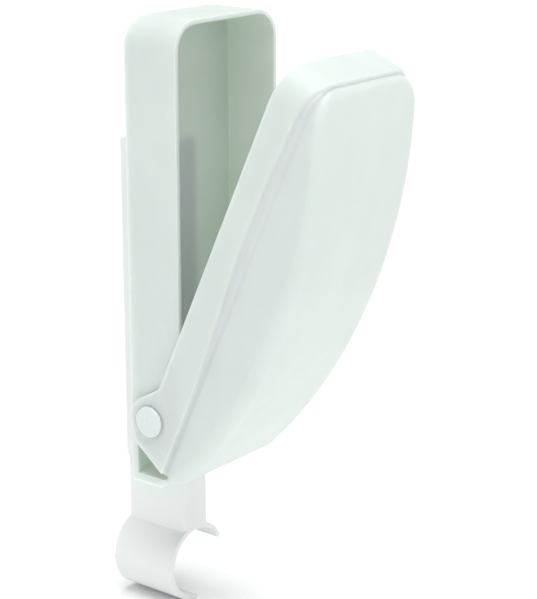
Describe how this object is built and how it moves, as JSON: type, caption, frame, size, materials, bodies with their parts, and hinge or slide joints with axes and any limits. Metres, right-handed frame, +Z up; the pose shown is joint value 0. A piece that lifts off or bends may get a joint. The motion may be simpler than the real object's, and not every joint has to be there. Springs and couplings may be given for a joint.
{
  "type": "sock aid",
  "caption": "Narrow two-shell sock aid: a shallow rear shell, a domed front shell hinged at its foot, and a push-on tube clip on a neck and spine.",
  "frame": {"origin": "on the axis of the tube that the clip grips, at the middle of the clip's length", "axes": "+Z up along the rear shell, -Y towards the open front, +X to the right; the clipped tube lies along Y"},
  "size_m": [0.0596, 0.0994, 0.211],
  "materials": {
    "shell_plastic": "satin moulded, very fine spark texture",
    "clip_plastic": "satin moulded, slightly translucent",
    "pin_plastic": "smooth moulded",
    "steel": "zinc plated"
  },
  "bodies": {
    "base": {"rear_shell": "shell_plastic", "clip_bracket": "clip_plastic", "pivot_pin_left": "pin_plastic", "pivot_pin_right": "pin_plastic", "pin_washer_left": "steel", "pin_washer_right": "steel", "back_screws": "steel"},
    "front": {"front_shell": "shell_plastic"}
  },
  "joints": [
    {"name": "front_shell_hinge", "type": "hinge", "parent": "base", "child": "front", "pos_m": [0, -0.0172, 0.0622], "axis": [1, 0, 0], "range_deg": [-24.4, 0]}
  ]
}
